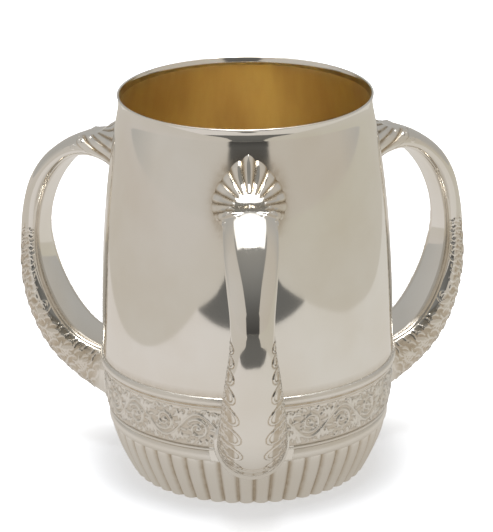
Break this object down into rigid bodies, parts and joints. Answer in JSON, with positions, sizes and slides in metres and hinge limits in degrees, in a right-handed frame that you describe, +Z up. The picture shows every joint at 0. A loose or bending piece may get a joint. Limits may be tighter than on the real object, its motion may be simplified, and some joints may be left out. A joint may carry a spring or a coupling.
{
  "type": "loving cup",
  "caption": "Tall silver loving cup with looped cast handles round a plain barrel body, a scrolled band above a lobed foot, shell-topped grips and a gilt inside.",
  "frame": {"origin": "middle of the cup's flat underside, on the axis of the bowl", "axes": "+Z up along the bowl's axis to the mouth; the front handle points along -Y and the other two stand a third of a turn either side"},
  "size_m": [0.2102, 0.1874, 0.1794],
  "materials": {
    "polished_silver": "polished sterling silver with warm toning in the recesses, gilt inside"
  },
  "bodies": {
    "root": {"cup_body": "polished_silver", "handle_front": "polished_silver", "handle_right": "polished_silver", "handle_left": "polished_silver"}
  },
  "joints": []
}
